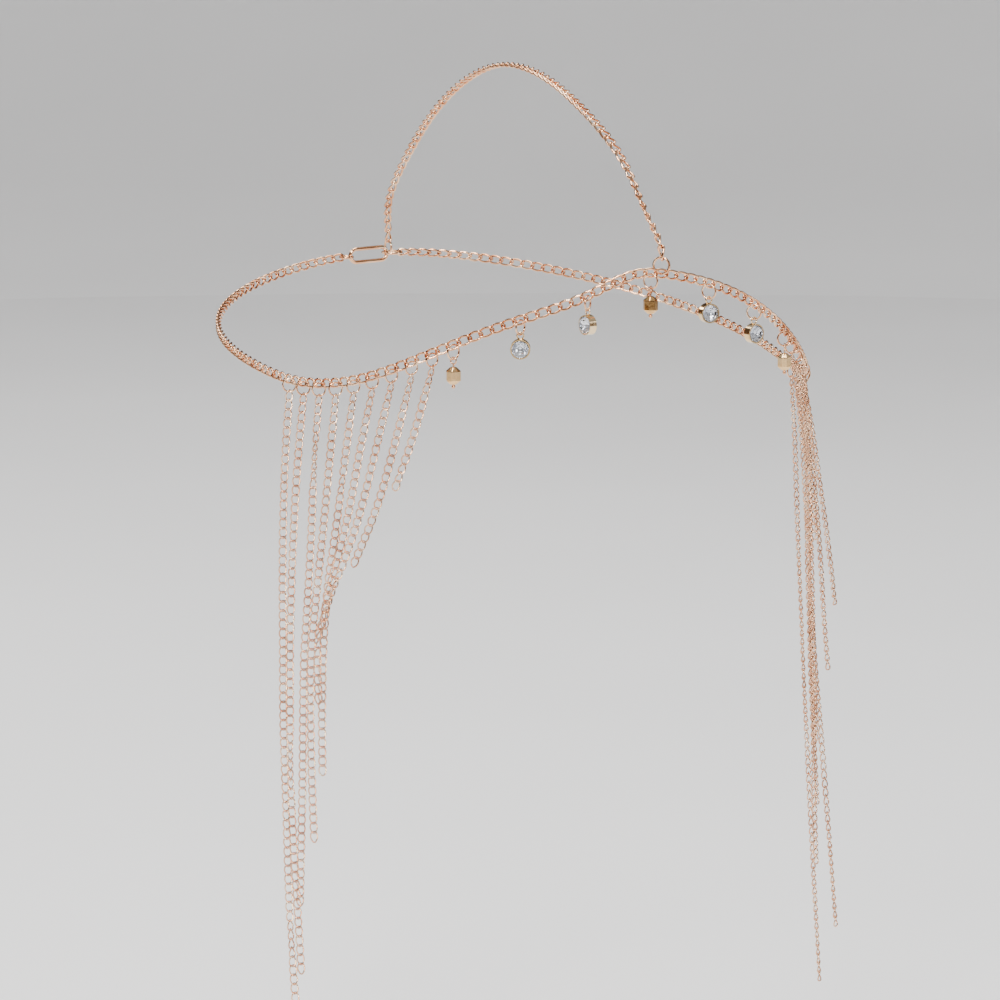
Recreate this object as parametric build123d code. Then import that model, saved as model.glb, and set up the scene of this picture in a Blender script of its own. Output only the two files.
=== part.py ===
from build123d import *
import math
import os

# A head chain: a curb chain loop worn round the head, a chain over the crown,
# seven small drops along the front and nine fringe chains hanging at each side.
# Millimetres. The front of the loop looks along -Y, its left side is +X and up is +Z.
# The origin is the top of the head opening, just under the crown chain.
# Angles round the loop are degrees from the front, positive to the left side.

# Curb chain of the head loop and the crown
PITCH = 3.4
WIRE = 0.68
CLEAR = 0.12
LINK_HALF = (PITCH + WIRE + CLEAR) / 2
LINK_END_WIDTH = 1.1
LINK_MID_WIDTH = 1.26
LINK_TWIST = 40
LINK_END_RADIUS = 0.95
LINK_MID_RADIUS = 3.0
LINK_THICK = 1.64

# The closed curve that the head loop follows, seen from above
HALF_WIDE = 85.5
HALF_DEEP = 91.0
ROUNDING = 2.2

# Heights of the head loop below its front: angle, right side, left side
LOOP_HEIGHTS = [
    (0, 0.0, 0.0),
    (12, -5.5, -4.0),
    (25, -12.5, -12.5),
    (40, -22.0, -26.0),
    (55, -31.0, -37.0),
    (70, -34.0, -40.0),
    (85, -32.5, -37.0),
    (105, -29.0, -32.0),
    (130, -23.5, -25.0),
    (155, -17.5, -18.0),
    (180, -14.0, -14.0),
]

# The crown chain between its two rings: across, along, height over the loop's front
CROWN_ROUTE = [
    (2.4, -86.0, 14.0),
    (1.2, -72.0, 29.5),
    (0.0, -52.0, 41.5),
    (0.0, -26.0, 50.0),
    (0.0, 2.0, 52.5),
    (0.0, 30.0, 46.0),
    (0.0, 56.0, 32.5),
    (0.0, 76.0, 16.5),
    (0.0, 88.0, 2.0),
]
CROWN_TOP = 52.5
FRONT_Z = WIRE / 2 + LINK_THICK / 2 - CROWN_TOP

# Stations are counted in links from the middle of the front, positive to the left
RIGHT_END = -80
LEFT_END = 84
JUNCTION_STATION = 1
JUNCTION_FACE = -46
CROWN_FIRST_ROLL = 84
CROWN_RISE = 4
ROLLED_LINKS = 12

# Drops: name, station, kind, the ways that ring and pendant face
DROPS = [
    ("right_3", -18, "bead", 16, -60),
    ("right_2", -12, "stone", 29, -28),
    ("right_1", -6, "stone", 42, -81),
    ("centre", 0, "bead", -52, 30),
    ("left_1", 6, "stone", -54, 0),
    ("left_2", 12, "stone", -43, 12),
    ("left_3", 18, "bead", -16, 60),
]

# How far under a link's middle a ring's wire passes, by the side to which the ring is turned
SEAT_TURNED_LEFT = 0.0
SEAT_TURNED_RIGHT = 0.3
DROP_RING_RADIUS = 2.1
DROP_RING_WIRE = 0.54
JUNCTION_RING_RADIUS = 2.35
JUNCTION_RING_WIRE = 0.7

# Faceted bead on its head pin: height below the middle, width across flats
BEAD_SIDES = 8
BEAD_SECTIONS = [(-2.5, 1.7), (-1.4, 4.0), (1.4, 4.0), (2.5, 1.7)]
PIN_WIRE = 0.5
PIN_NECK = 0.9
BEAD_HOLE = 0.9
PIN_HEAD = 1.1
BAIL_RADIUS = 0.95
BAIL_WIRE = 0.44
BAIL_SINK = 0.05

# Round stone in a closed-back cup with a fixed bail
CUP_OUTER = 5.7
CUP_WALL = 0.35
CUP_DEPTH = 2.3
CUP_FLOOR = 0.4
STONE_GAP = 0.08
STONE_SIDES = 12
STONE_TABLE = 0.56
STONE_CROWN = 0.95
STONE_GIRDLE = 0.3
STONE_POINT = 0.3

# Fringe: finer chain on small rings, each strand one run longer than the one before it
FRINGE_FIRST_STATION = 20
FRINGE_SPACING = 2
FRINGE_RUN = 18.9
FRINGE_WIDTH = 2.7
FRINGE_RING_RADIUS = 1.9
FRINGE_RING_WIRE = 0.5
FRINGE_RING_TURN = 50
FRINGE_GAP = 0.3
FRINGE_STAND_OFF = 0.8
FRINGE_FLARE = 0.04

# How far each strand drifts to the rear at the end of each of its runs, front strand first,
# and how far its free end lies outside the strands that it crosses
FRINGE_DRIFT = [
    ([4.7, 11.3], 0.0),
    ([4.2, 9.1, 17.1], 1.2),
    ([3.6, 7.4, 13.4, 19.2], 6.6),
    ([3.2, 6.2, 11.2, 15.2, 13.2], 4.1),
    ([2.2, 4.7, 7.9, 9.0, 9.0, 8.2], 0.0),
    ([1.3, 3.1, 5.3, 7.3, 6.8, 5.8, 4.3], 0.0),
    ([0.8, 1.2, 2.1, 3.4, 3.2, 2.8, 2.9, 2.9], 0.0),
    ([0.6, 1.1, 1.0, 0.4, -0.8, -2.1, -4.4, -7.0, -9.3], 4.8),
    ([0.5, 0.7, 0.2, -0.8, -1.5, -3.1, -4.7, -6.2, -8.5, -11.2], 0.0),
]

# Plain closing parts at the back
BACK_RING_RADIUS = 3.0
BACK_RING_WIRE = 0.9
CLASP_WIDTH = 5.4
CLASP_WIRE = 1.2
CLASP_EYE_RADIUS = 1.9
CLASP_EYE_WIRE = 0.9

# Each corner of a tube's path is rounded by this share of its shorter run
ARC_SHARE = 0.45

os.makedirs("parts", exist_ok=True)


def save(shape, name):
    export_step(shape, f"parts/{name}.step")


def head_point(angle, height, lift=0.0):
    """A point on the head loop's upright wall, or lifted outward from it."""
    a = math.radians(angle)
    wide = abs(math.sin(a) / HALF_WIDE) ** ROUNDING
    deep = abs(math.cos(a) / HALF_DEEP) ** ROUNDING
    radius = (wide + deep) ** (-1 / ROUNDING) + lift
    return Vector(radius * math.sin(a), -radius * math.cos(a), FRONT_Z + height)


def facing(angle):
    """The level direction at an angle from the front."""
    a = math.radians(angle)
    return Vector(math.sin(a), -math.cos(a), 0)


def head_loop():
    left = [head_point(angle, height) for angle, _, height in LOOP_HEIGHTS]
    right = [head_point(-angle, height) for angle, height, _ in LOOP_HEIGHTS[-2:0:-1]]
    return Spline(*left, *right, periodic=True)


LOOP = head_loop()
LOOP_LINKS = round(LOOP.length / PITCH)
LOOP_PITCH = LOOP.length / LOOP_LINKS


def frame_at(curve, distance, outward=None):
    """The plane of a link: x along the chain, z outward."""
    along = curve.tangent_at(distance, position_mode=PositionMode.LENGTH)
    place = curve.position_at(distance, position_mode=PositionMode.LENGTH)
    if outward is None:
        outward = Vector(place.X, place.Y, 0).normalized()
    outward = (outward - along * outward.dot(along)).normalized()
    return Plane(origin=place, x_dir=along, z_dir=outward)


def station(number):
    return frame_at(LOOP, (number * LOOP_PITCH) % LOOP.length)


def station_angle(number):
    place = station(number).origin
    return math.degrees(math.atan2(place.X, -place.Y))


def reach(radius, wire):
    """From a ring's middle to the middle of a chain link that ends inside it."""
    return radius - (wire + WIRE) / 2 - CLEAR + LINK_HALF


def curb_link():
    """One twisted link: two halves, each swept round from end to end."""
    twist = math.radians(LINK_TWIST)
    side = LINK_END_WIDTH * math.cos(twist)
    rise = LINK_END_WIDTH * math.sin(twist)
    half_path = FilletPolyline(
        (LINK_HALF, 0, 0),
        (LINK_HALF, side, rise),
        (0, LINK_MID_WIDTH, 0),
        (-LINK_HALF, side, -rise),
        (-LINK_HALF, 0, 0),
        radius=[LINK_END_RADIUS, LINK_MID_RADIUS, LINK_END_RADIUS],
    )
    half = sweep(Plane(half_path @ 0, z_dir=half_path % 0) * Circle(WIRE / 2), path=half_path)
    return half + Rot(180, 0, 0) * half


def ring(centre, radius, wire, normal):
    return Plane(origin=centre, z_dir=normal).location * Torus(radius, wire / 2)


def hanging_ring(number, radius, wire, face):
    """A ring through the lower side of a link, hanging straight down."""
    link = station(number)
    seat = SEAT_TURNED_LEFT if face > station_angle(number) else SEAT_TURNED_RIGHT
    centre = link.origin - link.y_dir * seat - Vector(0, 0, radius)
    return ring(centre, radius, wire, facing(face)), centre


def tube(points, diameter, name):
    """A round tube along straight runs joined by tangent arcs."""
    points = [Vector(p) for p in points]
    radii = []
    for before, here, after in zip(points, points[1:], points[2:]):
        turn = (here - before).get_angle(after - here)
        shorter = min((here - before).length, (after - here).length)
        radii.append(ARC_SHARE * shorter / math.tan(math.radians(turn) / 2))
    path = FilletPolyline(*points, radius=radii)
    solid = sweep(Plane(path @ 0, z_dir=path % 0) * Circle(diameter / 2), path=path)
    section = math.pi * diameter**2 / 4
    print(name, "length", round(path.length, 1), "least radius", round(min(radii), 1),
          "volume share", round(solid.volume / (section * path.length), 4))
    return solid


def bail(middle, face):
    return ring(middle, BAIL_RADIUS, BAIL_WIRE, facing(face))


def bead_drop(ring_bottom, face):
    """A faceted bead and the pin that carries it."""
    middle = ring_bottom - Vector(0, 0, BAIL_RADIUS - (BAIL_WIRE + DROP_RING_WIRE) / 2 - CLEAR)
    half_height = BEAD_SECTIONS[-1][0]
    bead_z = middle.Z - BAIL_RADIUS - PIN_NECK - half_height
    place = Location((middle.X, middle.Y, bead_z), (0, 0, face))
    sections = [
        Plane.XY.offset(z) * RegularPolygon(width / 2, BEAD_SIDES, major_radius=False)
        for z, width in BEAD_SECTIONS
    ]
    bead = loft(sections, ruled=True) - Cylinder(BEAD_HOLE / 2, 3 * half_height)
    shank_top = middle.Z - BAIL_RADIUS - bead_z
    head_z = -half_height - CLEAR - PIN_HEAD / 2
    shank = Pos(0, 0, (shank_top + head_z) / 2) * Cylinder(PIN_WIRE / 2, shank_top - head_z)
    head = Pos(0, 0, head_z) * Sphere(PIN_HEAD / 2)
    return place * bead, place * (shank + head) + bail(middle, face)


def stone_drop(ring_bottom, face):
    """A closed-back cup with its bail, and the round stone in it, both facing one way."""
    middle = ring_bottom - Vector(0, 0, BAIL_RADIUS - (BAIL_WIRE + DROP_RING_WIRE) / 2 - CLEAR)
    cup_centre = middle - Vector(0, 0, BAIL_RADIUS + CUP_OUTER / 2 - BAIL_SINK)
    place = Plane(origin=cup_centre, z_dir=facing(face)).location
    bore = CUP_OUTER / 2 - CUP_WALL
    cup = Cylinder(CUP_OUTER / 2, CUP_DEPTH) - Pos(0, 0, CUP_FLOOR) * Cylinder(bore, CUP_DEPTH)
    girdle = bore - STONE_GAP
    top = CUP_DEPTH / 2
    sections = [
        (CUP_FLOOR + STONE_GAP - top, girdle * STONE_POINT),
        (top - STONE_GIRDLE, girdle),
        (top, girdle),
        (top + STONE_CROWN, girdle * STONE_TABLE),
    ]
    faces = [Plane.XY.offset(z) * RegularPolygon(radius, STONE_SIDES) for z, radius in sections]
    stone = loft(faces, ruled=True)
    return place * stone, place * cup + bail(middle, face)


def build_chain(name, frames, first_roll=0, last_roll=0):
    """A chain whose end links are rolled so that their ends cross the rings squarely."""
    link = curb_link()
    fades = [max(0, 1 - i / ROLLED_LINKS) for i in range(len(frames))]
    rolls = [first_roll * a + last_roll * b for a, b in zip(fades, fades[::-1])]
    links = [frame.location * Rot(roll, 0, 0) * link for frame, roll in zip(frames, rolls)]
    save(Compound(links), name)
    print(name, "links", len(links))


def build_head_chains():
    print("loop length", round(LOOP.length, 1), "pitch", round(LOOP_PITCH, 3))
    right = [station(n) for n in range(RIGHT_END, 0)]
    left = [station(n) for n in range(0, LEFT_END + 1)]
    build_chain("head_chain_right", right, first_roll=LINK_TWIST)
    build_chain("head_chain_left", left, last_roll=-LINK_TWIST)


def build_drops():
    for name, number, kind, ring_face, body_face in DROPS:
        solid, centre = hanging_ring(number, DROP_RING_RADIUS, DROP_RING_WIRE, ring_face)
        save(solid, f"drop_ring_{name}")
        bottom = centre - Vector(0, 0, DROP_RING_RADIUS)
        if kind == "bead":
            bead, pin = bead_drop(bottom, body_face)
            save(bead, f"bead_{name}")
            save(pin, f"head_pin_{name}")
        else:
            stone, cup = stone_drop(bottom, body_face)
            save(stone, f"stone_{name}")
            save(cup, f"setting_{name}")


def build_back():
    """The ring at the back, the clasp that hooks on it and the small ring under the crown chain."""
    left_gap = reach(BACK_RING_RADIUS, BACK_RING_WIRE)
    back = frame_at(LOOP, LEFT_END * LOOP_PITCH + left_gap)
    save(ring(back.origin, BACK_RING_RADIUS, BACK_RING_WIRE, (0, 0, 1)), "back_ring")
    last_link = station(RIGHT_END).origin
    along = (last_link - back.origin).normalized()
    span = (last_link - back.origin).length
    near = BACK_RING_RADIUS - (BACK_RING_WIRE + CLASP_WIRE) / 2 - CLEAR
    eye = span - reach(CLASP_EYE_RADIUS, CLASP_EYE_WIRE)
    far = eye - CLASP_EYE_RADIUS
    outward = Vector(0, 1, 0)
    flat = Plane(origin=back.origin, x_dir=along, z_dir=outward)
    middle = (near + far) / 2
    body_path = SlotCenterToCenter(far - near - (CLASP_WIDTH - CLASP_WIRE), CLASP_WIDTH - CLASP_WIRE)
    outline = body_path.wire()
    section = Plane(outline @ 0, z_dir=outline % 0) * Circle(CLASP_WIRE / 2)
    body = flat.location * Pos(middle, 0, 0) * sweep(section, path=outline)
    eye_ring = ring(back.origin + along * eye, CLASP_EYE_RADIUS, CLASP_EYE_WIRE, (0, 0, 1))
    save(body + eye_ring, "clasp")
    return back.origin


def crown_ends(back_centre):
    """Centres of the ring at the front junction and of the ring under the crown chain's rear end."""
    link = station(JUNCTION_STATION)
    front = link.origin + Vector(0, 0, JUNCTION_RING_RADIUS)
    lift = JUNCTION_RING_RADIUS - (JUNCTION_RING_WIRE + BACK_RING_WIRE) / 2 - CLEAR
    rear = back_centre + Vector(0, BACK_RING_RADIUS, lift)
    return front, rear


def build_crown(back_centre):
    front, rear = crown_ends(back_centre)
    save(ring(front, JUNCTION_RING_RADIUS, JUNCTION_RING_WIRE, facing(JUNCTION_FACE)), "front_ring")
    save(ring(rear, JUNCTION_RING_RADIUS, JUNCTION_RING_WIRE, (1, 0, 0)), "crown_end_ring")
    route = [(x, y, FRONT_Z + z) for x, y, z in CROWN_ROUTE]
    rise = Vector(0, 0, CROWN_RISE)
    curve = Spline(front, front + rise, *route, rear + rise, rear)
    gap = reach(JUNCTION_RING_RADIUS, JUNCTION_RING_WIRE)
    run = curve.length - 2 * gap
    spaces = round(run / PITCH)
    frames = []
    for i in range(spaces + 1):
        distance = gap + run * i / spaces
        along = curve.tangent_at(distance, position_mode=PositionMode.LENGTH)
        frames.append(frame_at(curve, distance, Vector(1, 0, 0).cross(along)))
    print("crown length", round(curve.length, 1), "pitch", round(run / spaces, 3))
    build_chain("crown_chain", frames, CROWN_FIRST_ROLL, -LINK_TWIST)


def fringe_points(ring_centre, side, drifts, lift):
    """The route of one strand, from just under its ring to its free end."""
    top = ring_centre - Vector(0, 0, FRINGE_RING_RADIUS + FRINGE_RING_WIRE / 2 + FRINGE_GAP)
    start = math.degrees(math.atan2(abs(top.X), -top.Y))
    points = [top]
    for i, drift in enumerate(drifts, start=1):
        drop = i * FRINGE_RUN
        angle = start + math.degrees(2 * drift / (HALF_WIDE + HALF_DEEP))
        out = FRINGE_STAND_OFF + FRINGE_FLARE * drop + lift * i / len(drifts)
        points.append(head_point(side * angle, top.Z - drop - FRONT_Z, out))
    return points


def build_fringe(side, word):
    rings = []
    for i, (drifts, lift) in enumerate(FRINGE_DRIFT):
        number = side * (FRINGE_FIRST_STATION + FRINGE_SPACING * i)
        face = station_angle(number) - side * FRINGE_RING_TURN
        solid, centre = hanging_ring(number, FRINGE_RING_RADIUS, FRINGE_RING_WIRE, face)
        rings.append(solid)
        name = f"fringe_{word}_{i + 1}"
        save(tube(fringe_points(centre, side, drifts, lift), FRINGE_WIDTH, name), name)
    save(Compound(rings), f"fringe_rings_{word}")


build_head_chains()
build_crown(build_back())
build_drops()
build_fringe(-1, "right")
build_fringe(1, "left")
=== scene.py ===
import math
import random

import bmesh
import bpy
from mathutils import Matrix, Vector


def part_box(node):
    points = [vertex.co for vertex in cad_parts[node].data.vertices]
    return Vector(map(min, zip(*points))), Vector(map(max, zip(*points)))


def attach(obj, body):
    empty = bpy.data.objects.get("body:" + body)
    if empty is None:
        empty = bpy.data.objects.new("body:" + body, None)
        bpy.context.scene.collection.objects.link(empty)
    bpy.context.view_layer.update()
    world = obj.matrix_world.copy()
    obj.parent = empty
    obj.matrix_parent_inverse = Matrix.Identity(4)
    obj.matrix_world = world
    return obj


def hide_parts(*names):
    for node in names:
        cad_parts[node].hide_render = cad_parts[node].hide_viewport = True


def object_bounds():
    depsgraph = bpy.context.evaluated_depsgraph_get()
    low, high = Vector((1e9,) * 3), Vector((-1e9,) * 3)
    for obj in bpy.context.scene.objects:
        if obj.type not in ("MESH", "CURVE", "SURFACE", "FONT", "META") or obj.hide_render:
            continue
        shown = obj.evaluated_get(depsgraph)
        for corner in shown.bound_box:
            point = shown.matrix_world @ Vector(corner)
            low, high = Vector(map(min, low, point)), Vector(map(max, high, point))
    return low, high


# Worn hair chain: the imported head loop, crown chain, rings, clasp and cups are kept and get their
# materials here. The fringe tubes, the stones and the beads are replaced by detailed pieces.
# Lengths are in metres and angles in degrees from the front, positive to the left side.

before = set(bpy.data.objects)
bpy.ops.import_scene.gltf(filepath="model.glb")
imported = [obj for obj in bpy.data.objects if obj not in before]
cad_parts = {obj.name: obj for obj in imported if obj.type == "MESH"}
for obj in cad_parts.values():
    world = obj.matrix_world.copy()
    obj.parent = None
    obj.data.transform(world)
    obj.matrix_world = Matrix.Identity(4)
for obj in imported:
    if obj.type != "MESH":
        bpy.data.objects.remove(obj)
cad_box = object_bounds()
MM = 0.001

# Fine curb chain of the fringe
LINK_PITCH = 2.7 * MM
LINK_WIRE = 0.43 * MM
LINK_HALF = 1.62 * MM
LINK_MID_WIDTH = 1.06 * MM
LINK_END_WIDTH = 0.92 * MM
LINK_TWIST = 40
LINK_STATIONS = 16
WIRE_SIDES = 6
# Powers of the link's outline along and across: 1 is an ellipse, less is squarer
LINK_POWER_ALONG = 0.8
LINK_POWER_ACROSS = 0.72

# How the first link sits in its ring, and how the ring is turned
RING_WIRE = 0.5 * MM
RING_GAP = 0.3 * MM
RING_TURN = 50
SLACK = 0.07 * MM
TURN_IN_LINKS = 5
FIRST_LINK_EASE = 25

# Packed fringe tubes: strands a side, radius, how far from the slanted ends the cuts start, and their step
STRANDS = 9
TUBE_RADIUS = 1.35 * MM
END_MARGIN = 1.2 * MM
CUT_STEP = 3.0 * MM

# The way that the open side of the strands faces
OPEN_FACING = {"right": -30, "left": 40}

# Slow and quick turning along a strand: least and most size in degrees, least and most length in millimetres
WAVES = [((6, 14), (14, 26)), ((3, 8), (5, 9))]
# Each wave starts anywhere in one turn, in radians
WAVE_PHASE = 6.3

# Stretches that lie edge-on: strand, start and end along it in millimetres, turn in degrees
EDGE_FADE = 8
EDGE_ON = [
    ("right_7", 6, 30, 65),
    ("right_5", 18, 34, 70),
    ("right_1", 26, 38, 75),
    ("right_9", 150, 172, 60),
    ("right_8", 96, 120, -60),
    ("right_4", 60, 84, 65),
    ("right_3", 52, 74, 75),
    ("left_6", 20, 60, 60),
]

# Round stones: girdle sides and the heights and widths of the cut, as shares of the girdle radius
STONE_SIDES = 16
STONE_RADIUS = 2.4 * MM
STONE_TABLE = 0.56
STONE_CROWN = 0.95 * MM
STONE_STAR = 0.8
STONE_STAR_RISE = 0.52
STONE_GIRDLE = 0.26 * MM
STONE_DEPTH = 1.62 * MM
STONE_LOWER = 0.62
STONE_LOWER_DROP = 0.42
STONE_FACING = {"right_2": -28, "right_1": -81, "left_1": 0, "left_2": 12}
FOIL_BELOW = -0.2

# Beads: eight-sided barrels, height and half width across flats of each section, edge softening
BEAD_SIDES = 8
BEAD_SECTIONS = [(-2.5, 0.85), (-1.4, 2.0), (1.4, 2.0), (2.5, 0.85)]
BEAD_BORE = 0.45 * MM
BEAD_EDGE = 0.14 * MM
BEAD_FACING = {"right_3": -60, "centre": 30, "left_3": 60}

# Floor: room under the longest strands, and radius and height of each ring of the wall
FLOOR_GAP = 0.03
STAGE_SIDES = 64
STAGE_PROFILE = [(1.9, 0), (2.3, 0.04), (2.65, 0.18), (2.9, 0.45), (3.0, 0.9), (3.05, 3.0)]

# Soft lights: name, place, width and height, power in watts, colour
LIGHT_TARGET = (0, 0, -0.1)
LIGHTS = [
    ("key", (-0.9, -1.1, 0.9), (0.5, 0.5), 34, (1.0, 0.98, 0.95)),
    ("fill", (1.2, -0.9, 0.3), (0.25, 0.9), 5, (0.97, 0.98, 1.0)),
    ("top", (0.0, 0.2, 1.3), (0.8, 0.8), 22, (1.0, 1.0, 1.0)),
    ("rim", (-0.5, 1.2, 0.7), (0.3, 0.6), 6, (1.0, 0.97, 0.94)),
]
WORLD_STRENGTH = 0.5

# Camera: what it looks at, its angles and distance, and its lens in millimetres
CAMERA_TARGET = Vector((-2.7, 1.3, -131.3)) * MM
CAMERA_AZIMUTH = -26
CAMERA_ELEVATION = 10
CAMERA_DISTANCE = 1.4
CAMERA_LENS = 165.3


def principled(name):
    """A new material, with its node tree and its shader."""
    material = bpy.data.materials.new(name)
    material.use_nodes = True
    tree = material.node_tree
    shader = tree.nodes["Principled BSDF"]
    return material, tree, shader


def noise(tree, scale, detail=4.0, rough=0.55):
    """A noise fixed to the piece, about 0.3 to 0.7 over most of it."""
    coords = tree.nodes.new("ShaderNodeTexCoord")
    node = tree.nodes.new("ShaderNodeTexNoise")
    node.inputs["Scale"].default_value = scale
    node.inputs["Detail"].default_value = detail
    node.inputs["Roughness"].default_value = rough
    tree.links.new(coords.outputs["Object"], node.inputs["Vector"])
    return node.outputs["Fac"]


def ramp(tree, source, stops):
    """Colours for a value, from rows of place and colour."""
    node = tree.nodes.new("ShaderNodeValToRGB")
    elements = node.color_ramp.elements
    while len(elements) < len(stops):
        elements.new(0.5)
    for element, (place, colour) in zip(elements, stops):
        element.position = place
        element.color = (*colour, 1)
    tree.links.new(source, node.inputs["Fac"])
    return node.outputs["Color"]


def spread(tree, source, low, high):
    """The middle of a value's range, 0.3 to 0.7, spread from low to high."""
    node = tree.nodes.new("ShaderNodeMapRange")
    node.inputs["From Min"].default_value = 0.3
    node.inputs["From Max"].default_value = 0.7
    node.inputs["To Min"].default_value = low
    node.inputs["To Max"].default_value = high
    tree.links.new(source, node.inputs["Value"])
    return node.outputs["Result"]


def plated_metal(name, tones, low_rough, high_rough, bump):
    """Plated wire: uneven tone along the chain, fine drawing marks and softly varied polish."""
    material, tree, shader = principled(name)
    shader.inputs["Metallic"].default_value = 1.0
    broad = noise(tree, 140.0, 3.0)
    colour = ramp(tree, broad, [(0.32, tones[0]), (0.5, tones[1]), (0.7, tones[2])])
    tree.links.new(colour, shader.inputs["Base Color"])
    fine = noise(tree, 2600.0, 5.0, 0.65)
    tree.links.new(spread(tree, fine, low_rough, high_rough), shader.inputs["Roughness"])
    node = tree.nodes.new("ShaderNodeBump")
    node.inputs["Strength"].default_value = bump
    node.inputs["Distance"].default_value = 0.00003
    tree.links.new(fine, node.inputs["Height"])
    tree.links.new(node.outputs["Normal"], shader.inputs["Normal"])
    return material


def cut_glass():
    """The clear crown of a stone."""
    material, tree, shader = principled("cut_glass")
    shader.inputs["Transmission Weight"].default_value = 1.0
    shader.inputs["IOR"].default_value = 1.8
    cloud = noise(tree, 900.0, 2.0)
    colour = ramp(tree, cloud, [(0.3, (0.90, 0.93, 0.97)), (0.7, (0.99, 0.99, 0.97))])
    tree.links.new(colour, shader.inputs["Base Color"])
    tree.links.new(spread(tree, cloud, 0.005, 0.03), shader.inputs["Roughness"])
    return material


def silver_foil():
    """The foiled back facets under a stone, bright silver with a cool grey in places."""
    material, tree, shader = principled("silver_foil")
    shader.inputs["Metallic"].default_value = 1.0
    cloud = noise(tree, 700.0, 2.0)
    colour = ramp(tree, cloud, [(0.35, (0.66, 0.69, 0.76)), (0.6, (0.96, 0.96, 0.98))])
    tree.links.new(colour, shader.inputs["Base Color"])
    tree.links.new(spread(tree, cloud, 0.02, 0.08), shader.inputs["Roughness"])
    return material


ROSE = plated_metal(
    "rose_gold", [(0.60, 0.27, 0.13), (0.83, 0.46, 0.26), (0.95, 0.66, 0.43)], 0.09, 0.2, 0.25)
FINE_ROSE = plated_metal(
    "fine_rose_gold", [(0.58, 0.27, 0.14), (0.82, 0.46, 0.27), (0.95, 0.66, 0.44)], 0.1, 0.22, 0.2)
PALE = plated_metal(
    "pale_gold", [(0.74, 0.48, 0.20), (0.90, 0.64, 0.33), (0.97, 0.76, 0.47)], 0.08, 0.2, 0.2)
BEAD_GOLD = plated_metal(
    "bead_gold", [(0.70, 0.40, 0.14), (0.88, 0.56, 0.26), (0.96, 0.70, 0.40)], 0.05, 0.14, 0.1)
GLASS = cut_glass()
FOIL = silver_foil()


def dress_packed_nodes():
    """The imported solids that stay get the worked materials."""
    for name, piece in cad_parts.items():
        material = PALE if name.startswith("setting") else ROSE
        piece.data.materials.clear()
        piece.data.materials.append(material)


def new_piece(name, verts, faces, material, smooth):
    """A mesh object with its faces turned outward."""
    mesh = bpy.data.meshes.new(name)
    mesh.from_pydata(verts, [], faces)
    work = bmesh.new()
    work.from_mesh(mesh)
    bmesh.ops.recalc_face_normals(work, faces=work.faces)
    work.to_mesh(mesh)
    work.free()
    mesh.materials.append(material)
    mesh.polygons.foreach_set("use_smooth", [smooth] * len(mesh.polygons))
    piece = bpy.data.objects.new(name, mesh)
    bpy.context.collection.objects.link(piece)
    return piece


def facing(angle):
    """Level direction at an angle from the front."""
    a = math.radians(angle)
    return Vector((math.sin(a), -math.cos(a), 0))


def curb_link():
    """Points and faces of one twisted link, x along the chain and z its open side."""
    points = []
    for i in range(LINK_STATIONS):
        t = 2 * math.pi * i / LINK_STATIONS
        c, s = math.cos(t), math.sin(t)
        x = LINK_HALF * math.copysign(abs(c) ** LINK_POWER_ALONG, c)
        share = abs(x) / LINK_HALF
        width = LINK_MID_WIDTH + (LINK_END_WIDTH - LINK_MID_WIDTH) * share
        y = width * math.copysign(abs(s) ** LINK_POWER_ACROSS, s)
        twist = math.radians(LINK_TWIST) * x / LINK_HALF
        points.append(Vector((x, y * math.cos(twist), y * math.sin(twist))))
    verts = []
    faces = []
    for i, point in enumerate(points):
        along = (points[(i + 1) % LINK_STATIONS] - points[i - 1]).normalized()
        out = (point - along * point.dot(along)).normalized()
        side = along.cross(out)
        for j in range(WIRE_SIDES):
            a = 2 * math.pi * j / WIRE_SIDES
            verts.append(point + (out * math.cos(a) + side * math.sin(a)) * LINK_WIRE / 2)
            k = (j + 1) % WIRE_SIDES
            n = (i + 1) % LINK_STATIONS
            faces.append((i * WIRE_SIDES + j, i * WIRE_SIDES + k, n * WIRE_SIDES + k, n * WIRE_SIDES + j))
    return verts, faces


def centre_line(name):
    """The middle line of a packed tube, from its mesh cut level by level between its slanted ends."""
    mesh = bpy.data.objects[name].data
    low, high = (Vector(corner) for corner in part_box(name))
    places = [vertex.co for vertex in mesh.vertices]
    edges = [(places[a], places[b]) for a, b in (edge.vertices for edge in mesh.edges)]
    levels = max(3, round((high.z - low.z) / CUT_STEP))
    first, last = high.z - END_MARGIN, low.z + END_MARGIN
    line = []
    for i in range(levels + 1):
        z = first + (last - first) * i / levels
        hits = []
        for a, b in edges:
            if (a.z - z) * (b.z - z) < 0:
                hits.append(a.lerp(b, (z - a.z) / (b.z - a.z)))
        line.append(sum(hits, Vector()) / len(hits))
    start = (line[0] - line[1]).normalized()
    end = (line[-1] - line[-2]).normalized()
    rise = END_MARGIN - TUBE_RADIUS * math.hypot(start.x, start.y)
    fall = END_MARGIN - TUBE_RADIUS * math.hypot(end.x, end.y)
    return [line[0] + start * rise / abs(start.z), *line, line[-1] + end * fall / abs(end.z)]


def along_line(line, distance):
    """Place and direction at a distance along a line of points, going on past either end."""
    for i in range(len(line) - 1):
        run = line[i + 1] - line[i]
        if distance <= run.length or i == len(line) - 2:
            return line[i] + run.normalized() * distance, run.normalized()
        distance -= run.length


def smooth_step(value):
    value = min(max(value, 0.0), 1.0)
    return value * value * (3 - 2 * value)


def strand_turn(key, distance, waves):
    """How far a strand has turned about itself, in degrees, at a distance in millimetres."""
    turn = sum(size * math.sin(distance / length + phase) for size, length, phase in waves)
    for name, start, end, amount in EDGE_ON:
        if name == key:
            rising = smooth_step((distance - start) / EDGE_FADE)
            turn += amount * rising * smooth_step((end - distance) / EDGE_FADE)
    return turn


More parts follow.
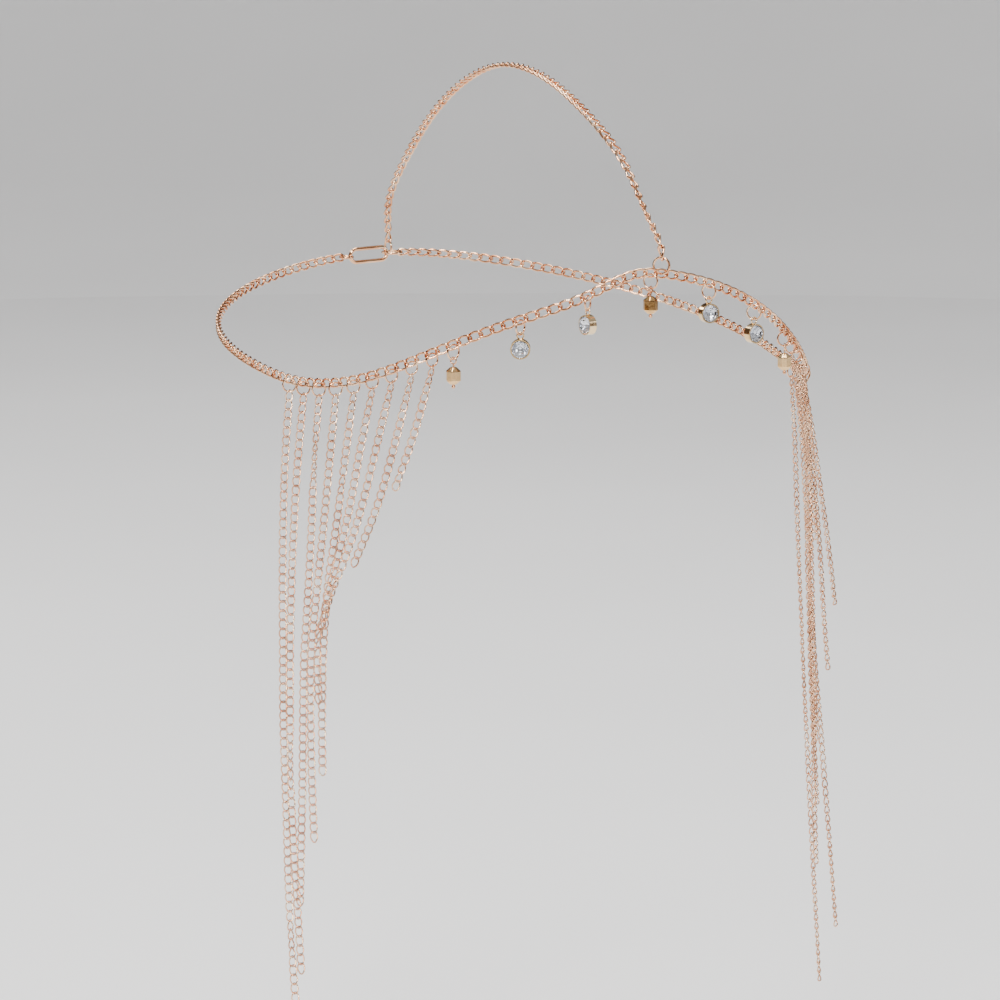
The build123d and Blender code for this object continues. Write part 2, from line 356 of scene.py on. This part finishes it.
def build_strand(side, number):
    """The chain of one packed fringe tube. Its first link hangs in the ring, the rest turn to the front."""
    key = f"{side}_{number}"
    node = f"fringe_{key}"
    rng = random.Random(f"strand {key}")
    line = centre_line(node)
    length = sum((b - a).length for a, b in zip(line, line[1:]))
    top = line[0]
    sign = 1 if side == "left" else -1
    angle = math.degrees(math.atan2(top.x, -top.y))
    ring_normal = angle - sign * RING_TURN
    first_facing = ring_normal + 90 - LINK_TWIST
    open_facing = OPEN_FACING[side]
    first_facing += 180 * round((open_facing - first_facing) / 180)
    ease = open_facing - first_facing
    first_facing += math.copysign(min(abs(ease), FIRST_LINK_EASE), ease)
    waves = [(rng.uniform(*size), rng.uniform(*reach), rng.uniform(0, WAVE_PHASE)) for size, reach in WAVES]
    link_verts, link_faces = curb_link()
    wire_in_ring = RING_GAP + RING_WIRE + LINK_WIRE / 2 + SLACK
    distance = LINK_HALF - wire_in_ring
    verts = []
    faces = []
    index = 0
    while distance + LINK_HALF + LINK_WIRE / 2 <= length:
        place, along = along_line(line, distance)
        share = smooth_step(index / TURN_IN_LINKS)
        turned = open_facing + strand_turn(key, distance / MM, waves)
        out = facing(first_facing + (turned - first_facing) * share)
        out = (out - along * out.dot(along)).normalized()
        across = out.cross(along)
        turn = Matrix((along, across, out)).transposed()
        start = len(verts)
        verts += [place + turn @ point for point in link_verts]
        faces += [tuple(start + k for k in face) for face in link_faces]
        distance += LINK_PITCH
        index += 1
    piece = new_piece(f"strand_{key}", verts, faces, FINE_ROSE, True)
    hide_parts(node)
    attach(piece, "root")


def ring_points(count, radius, height, offset=0.0):
    """Points round the Z axis, turned on by a share of one step."""
    return [Vector((radius * math.cos(2 * math.pi * (i + offset) / count),
                    radius * math.sin(2 * math.pi * (i + offset) / count), height))
            for i in range(count)]


def cut_stone_mesh():
    """A round cut: table, stars, kites, crown and pavilion facets. Z is out of the cup."""
    half = STONE_SIDES // 2
    girdle_top = ring_points(STONE_SIDES, STONE_RADIUS, 0)
    girdle_low = ring_points(STONE_SIDES, STONE_RADIUS, -STONE_GIRDLE)
    star = ring_points(half, STONE_RADIUS * STONE_STAR, STONE_CROWN * STONE_STAR_RISE, 0.0)
    table = ring_points(half, STONE_RADIUS * STONE_TABLE, STONE_CROWN, 0.5)
    lower = ring_points(
        half, STONE_RADIUS * STONE_LOWER, -STONE_GIRDLE - STONE_DEPTH * STONE_LOWER_DROP, 0.5)
    point = Vector((0, 0, -STONE_GIRDLE - STONE_DEPTH))
    verts = girdle_top + girdle_low + star + table + lower + [point]
    girdle_low_at = STONE_SIDES
    star_at = 2 * STONE_SIDES
    table_at = star_at + half
    lower_at = table_at + half
    point_at = lower_at + half
    faces = [tuple(table_at + i for i in range(half))]
    for i in range(half):
        n = (i + 1) % half
        a, b, c = 2 * i, 2 * i + 1, (2 * i + 2) % STONE_SIDES
        low_a, low_b, low_c = (girdle_low_at + k for k in (a, b, c))
        faces.append((star_at + n, table_at + i, star_at + i, b))
        faces.append((table_at + i, table_at + n, star_at + n))
        faces.append((star_at + i, a, b))
        faces.append((star_at + n, b, c))
        faces.append((lower_at + i, low_b, low_a))
        faces.append((lower_at + i, low_c, low_b))
        faces.append((low_c, lower_at + n, point_at, lower_at + i))
    for i in range(STONE_SIDES):
        n = (i + 1) % STONE_SIDES
        faces.append((i, girdle_low_at + i, girdle_low_at + n, n))
    return verts, faces


def build_stones():
    """The cut stones in their cups, with foil on the facets behind."""
    for name, angle in STONE_FACING.items():
        low, high = (Vector(corner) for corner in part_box(f"stone_{name}"))
        out = facing(angle)
        middle = (low + high) / 2
        verts, faces = cut_stone_mesh()
        turn = Matrix((Vector((0, 0, 1)).cross(out), Vector((0, 0, 1)), out)).transposed()
        base = middle - out * ((STONE_CROWN - STONE_GIRDLE - STONE_DEPTH) / 2)
        placed = [base + turn @ point for point in verts]
        piece = new_piece(f"cut_stone_{name}", placed, faces, GLASS, False)
        piece.data.materials.append(FOIL)
        for face in piece.data.polygons:
            if face.normal.dot(out) < FOIL_BELOW:
                face.material_index = 1
        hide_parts(f"stone_{name}")
        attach(piece, "root")


def build_beads():
    """Eight-sided barrel beads with a bore, their edges softened so that they catch the light."""
    corner = 1 / math.cos(math.pi / BEAD_SIDES)
    for name, angle in BEAD_FACING.items():
        low, high = (Vector(point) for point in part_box(f"bead_{name}"))
        middle = (low + high) / 2
        offset = 0.5 + angle * BEAD_SIDES / 360
        rings = [(height * MM, half * MM * corner) for height, half in BEAD_SECTIONS]
        rings += [(rings[-1][0], BEAD_BORE), (rings[0][0], BEAD_BORE)]
        verts = []
        for height, radius in rings:
            verts += [middle + point for point in ring_points(BEAD_SIDES, radius, height, offset)]
        faces = []
        for row in range(len(rings)):
            above = (row + 1) % len(rings)
            for i in range(BEAD_SIDES):
                k = (i + 1) % BEAD_SIDES
                faces.append((row * BEAD_SIDES + i, row * BEAD_SIDES + k,
                              above * BEAD_SIDES + k, above * BEAD_SIDES + i))
        piece = new_piece(f"faceted_bead_{name}", verts, faces, BEAD_GOLD, False)
        work = bmesh.new()
        work.from_mesh(piece.data)
        bmesh.ops.bevel(work, geom=work.edges, offset=BEAD_EDGE, segments=2, profile=0.5, affect="EDGES")
        work.to_mesh(piece.data)
        work.free()
        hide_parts(f"bead_{name}")
        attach(piece, "root")


def build_stage():
    """A round pale floor under the longest strands, and a wall that curves up from it on every side.

    The wall is plain background: the metal reflects the world in its place.
    """
    base = Vector((0, 0, cad_box[0][2] - FLOOR_GAP))
    rings = [[base + point for point in ring_points(STAGE_SIDES, radius, height)]
             for radius, height in STAGE_PROFILE]
    wall_faces = []
    for i in range(STAGE_SIDES):
        k = (i + 1) % STAGE_SIDES
        for row in range(len(rings) - 1):
            low, high = row * STAGE_SIDES, (row + 1) * STAGE_SIDES
            wall_faces.append((low + i, high + i, high + k, low + k))
    material, tree, shader = principled("pale_floor")
    shader.inputs["Roughness"].default_value = 0.85
    colour = ramp(tree, noise(tree, 3.0, 2.0), [(0.3, (0.88, 0.88, 0.88)), (0.7, (0.92, 0.92, 0.92))])
    tree.links.new(colour, shader.inputs["Base Color"])
    floor = new_piece("floor", rings[0], [tuple(range(STAGE_SIDES))], material, False)
    wall = new_piece("wall", sum(rings, []), wall_faces, material, True)
    wall.visible_glossy = False


def area_light(name, place, size, power, colour):
    light = bpy.data.lights.new(name, "AREA")
    light.shape = "RECTANGLE"
    light.size, light.size_y = size
    light.energy = power
    light.color = colour
    lamp = bpy.data.objects.new(name, light)
    lamp.location = place
    lamp.rotation_euler = (Vector(LIGHT_TARGET) - Vector(place)).to_track_quat("-Z", "Y").to_euler()
    bpy.context.collection.objects.link(lamp)


def build_world():
    """Brown and dark at the horizon and below, pale above."""
    world = bpy.data.worlds.new("studio")
    bpy.context.scene.world = world
    world.use_nodes = True
    tree = world.node_tree
    coords = tree.nodes.new("ShaderNodeTexCoord")
    split = tree.nodes.new("ShaderNodeSeparateXYZ")
    tree.links.new(coords.outputs["Generated"], split.inputs["Vector"])
    sky = ramp(tree, spread(tree, split.outputs["Z"], 0.0, 1.0), [
        (0.0, (0.20, 0.13, 0.10)), (0.45, (0.08, 0.05, 0.04)),
        (0.62, (0.35, 0.33, 0.33)), (1.0, (0.9, 0.9, 0.92))])
    tree.links.new(sky, tree.nodes["Background"].inputs["Color"])
    tree.nodes["Background"].inputs["Strength"].default_value = WORLD_STRENGTH


def build_camera():
    """The main view, from a little to the right side and above."""
    azimuth, elevation = math.radians(CAMERA_AZIMUTH), math.radians(CAMERA_ELEVATION)
    away = Vector((math.sin(azimuth) * math.cos(elevation),
                   -math.cos(azimuth) * math.cos(elevation), math.sin(elevation)))
    data = bpy.data.cameras.new("camera")
    data.sensor_width = 36
    data.lens = CAMERA_LENS
    data.clip_end = 20
    camera = bpy.data.objects.new("camera", data)
    camera.location = CAMERA_TARGET + away * CAMERA_DISTANCE
    camera.rotation_euler = (-away).to_track_quat("-Z", "Y").to_euler()
    bpy.context.collection.objects.link(camera)
    bpy.context.scene.camera = camera


dress_packed_nodes()
for side in ("right", "left"):
    for number in range(1, STRANDS + 1):
        build_strand(side, number)
build_stones()
build_beads()
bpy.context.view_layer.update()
build_stage()
for light_row in LIGHTS:
    area_light(*light_row)
build_world()
build_camera()
